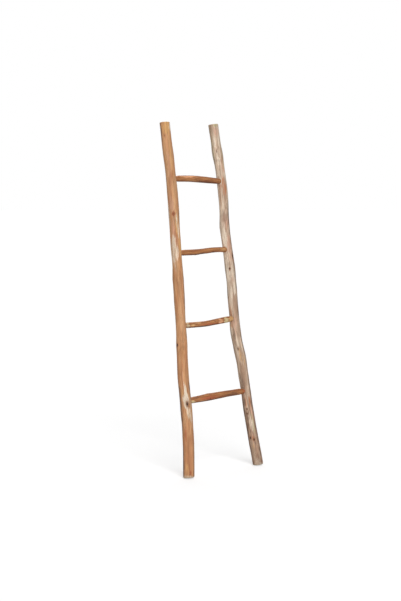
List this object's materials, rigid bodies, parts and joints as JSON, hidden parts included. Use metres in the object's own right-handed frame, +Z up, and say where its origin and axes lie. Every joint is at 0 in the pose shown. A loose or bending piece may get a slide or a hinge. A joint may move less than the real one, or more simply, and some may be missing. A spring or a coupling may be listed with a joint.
{
  "type": "decorative ladder",
  "caption": "Narrow leaning decorative ladder of natural round wood poles, tapering upwards, with round branch rungs tenoned into its rails and screwed from behind.",
  "frame": {"origin": "on the floor, below the middle of the leaning ladder's box", "axes": "+Z up, +Y towards the wall that the ladder leans on, +X to the right seen from the front"},
  "size_m": [0.5, 0.2442, 1.49],
  "materials": {
    "left_rail_wood": "debarked orange-brown heartwood pole, sanded, matt",
    "right_rail_wood": "debarked pale beige pole, sanded, matt",
    "rung_wood": "debarked reddish-brown branch, whittled pale at its ends, matt",
    "screw_steel": "bright zinc-plated"
  },
  "bodies": {
    "root": {"left_rail": "left_rail_wood", "right_rail": "right_rail_wood", "rung_1": "rung_wood", "rung_2": "rung_wood", "rung_3": "rung_wood", "rung_4": "rung_wood", "left_screw_1": "screw_steel", "left_screw_2": "screw_steel", "left_screw_3": "screw_steel", "left_screw_4": "screw_steel", "right_screw_1": "screw_steel", "right_screw_2": "screw_steel", "right_screw_3": "screw_steel", "right_screw_4": "screw_steel"}
  },
  "joints": []
}
